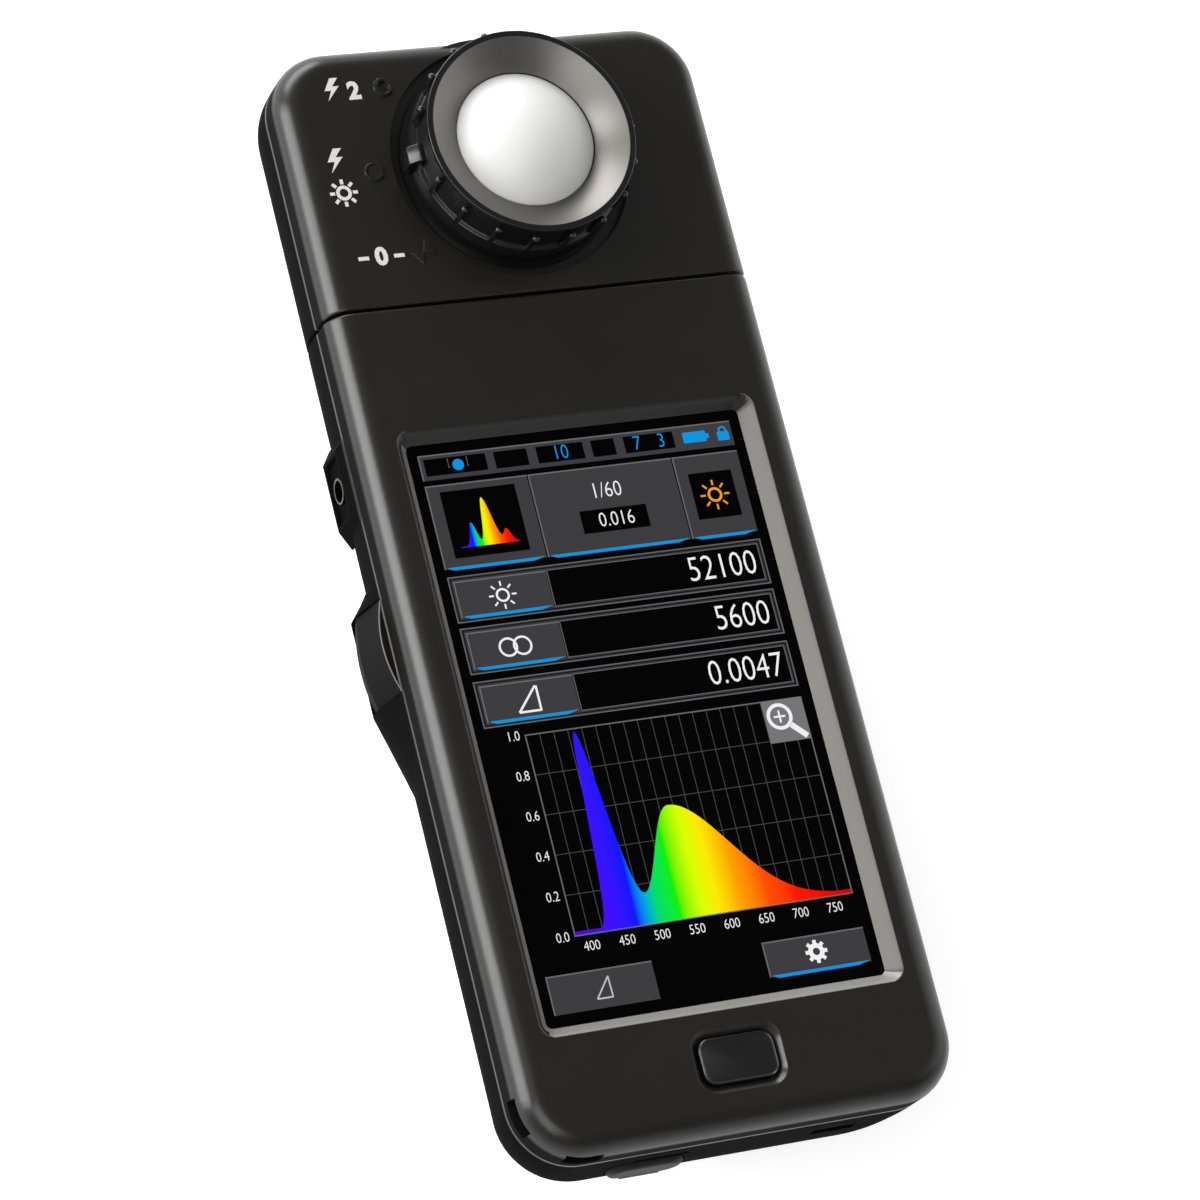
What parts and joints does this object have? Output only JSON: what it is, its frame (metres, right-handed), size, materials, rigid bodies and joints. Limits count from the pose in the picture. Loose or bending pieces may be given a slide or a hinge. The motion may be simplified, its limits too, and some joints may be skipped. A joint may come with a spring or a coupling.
{
  "type": "handheld spectrometer",
  "caption": "Handheld light spectrometer with a touch display, a white dome receptor in a rotating mode ring and a swivel head, powered by cells behind a sliding cover.",
  "frame": {"origin": "On the flat back plane, on the centre line at mid-length of the 183 mm case, as the device lies on its back", "axes": "+X to the right seen from the front, +Y along the length toward the receptor head, +Z out of the display"},
  "size_m": [0.0778, 0.1839, 0.04],
  "materials": {
    "case_plastic": "moulded satin black with a fine grain",
    "key_plastic": "satin black",
    "ring_plastic": "semi-gloss black",
    "cone_coat": "satin dark grey",
    "dome_plastic": "milky white, light scattering",
    "window_glass": "clear over a black border",
    "display": "black display module",
    "inner_plastic": "plain black moulding",
    "rubber": "soft matt black",
    "board": "green solder mask",
    "steel": "plain steel",
    "plated": "bright nickel plate",
    "brass_metal": "turned brass",
    "neck_metal": "turned aluminium",
    "optic_glass": "clear polished",
    "mirror_coat": "coated front surface",
    "sensor_glass": "ceramic package",
    "label_film": "plain grey film",
    "cell_wrap": "plain wrap"
  },
  "bodies": {
    "body": {"body_front_cover": "case_plastic", "body_rear_cover": "case_plastic", "body_screws": "steel", "window_gasket": "rubber", "touch_glass": "window_glass", "display_module": "display", "display_chassis": "steel", "main_board": "board", "menu_switch": "inner_plastic", "processor_shield": "steel", "buzzer": "inner_plastic", "battery_tray": "inner_plastic", "battery_cell_inner": "cell_wrap", "battery_cell_outer": "cell_wrap", "battery_contacts": "steel", "battery_springs": "steel", "memory_switch": "inner_plastic", "measure_switch": "inner_plastic", "power_switch": "inner_plastic", "left_switch_board": "board", "right_switch_board": "board", "flash_terminal": "plated", "flash_contact": "plated", "usb_socket": "steel", "usb_board": "board", "board_plug": "inner_plastic", "tripod_bush": "brass_metal", "rear_label": "label_film", "swivel_clip": "steel", "friction_washer": "steel", "lead_socket": "inner_plastic"},
    "head": {"head_front_cover": "case_plastic", "head_rear_cover": "case_plastic", "head_screws": "steel", "receptor_hub": "inner_plastic", "hub_screws": "steel", "receptor_cone": "cone_coat", "diffuser_dome": "dome_plastic", "dome_seal": "rubber", "light_guide": "optic_glass", "optics_block": "inner_plastic", "optics_lid": "inner_plastic", "slit_plate": "steel", "fold_mirror": "mirror_coat", "diffraction_grating": "mirror_coat", "line_sensor": "sensor_glass", "sensor_board": "board", "swivel_neck": "neck_metal", "neck_lead": "rubber"},
    "mode_ring": {"mode_ring": "ring_plastic", "drive_pins": "steel", "mode_disc": "ring_plastic", "filter_glass": "optic_glass"},
    "menu_button": {"menu_button": "key_plastic"},
    "memory_button": {"memory_button": "key_plastic"},
    "measure_button": {"measure_button": "key_plastic"},
    "power_button": {"power_button": "key_plastic"},
    "usb_cover": {"usb_cover": "rubber"},
    "battery_cover": {"battery_cover": "case_plastic"},
    "battery_lock": {"battery_lock": "key_plastic"}
  },
  "joints": [
    {"name": "head_swivel", "type": "hinge", "parent": "body", "child": "head", "pos_m": [0, 0.0463, 0.0135], "axis": [0, 1, 0], "range_deg": [-90, 180]},
    {"name": "mode_ring_turn", "type": "hinge", "parent": "head", "child": "mode_ring", "pos_m": [0, 0.06937, 0.031], "axis": [0, 0, 1], "range_deg": [-38, 38]},
    {"name": "menu_press", "type": "slide", "parent": "body", "child": "menu_button", "axis": [0, 0, -1], "range_m": [0, 0.0005], "stiffness_N_per_m": 800},
    {"name": "memory_press", "type": "slide", "parent": "body", "child": "memory_button", "axis": [1, 0, 0], "range_m": [0, 0.0005], "stiffness_N_per_m": 800},
    {"name": "measure_press", "type": "slide", "parent": "body", "child": "measure_button", "axis": [-1, 0, 0], "range_m": [0, 0.0005], "stiffness_N_per_m": 800},
    {"name": "power_press", "type": "slide", "parent": "body", "child": "power_button", "axis": [-1, 0, 0], "range_m": [0, 0.0005], "stiffness_N_per_m": 800},
    {"name": "usb_cover_swing", "type": "hinge", "parent": "body", "child": "usb_cover", "pos_m": [0, -0.092, 0.0082], "axis": [1, 0, 0], "range_deg": [0, 100]},
    {"name": "battery_cover_slide", "type": "slide", "parent": "body", "child": "battery_cover", "axis": [0, -1, 0], "range_m": [0, 0.008]},
    {"name": "battery_lock_slide", "type": "slide", "parent": "body", "child": "battery_lock", "axis": [-1, 0, 0], "range_m": [0, 0.003]}
  ]
}
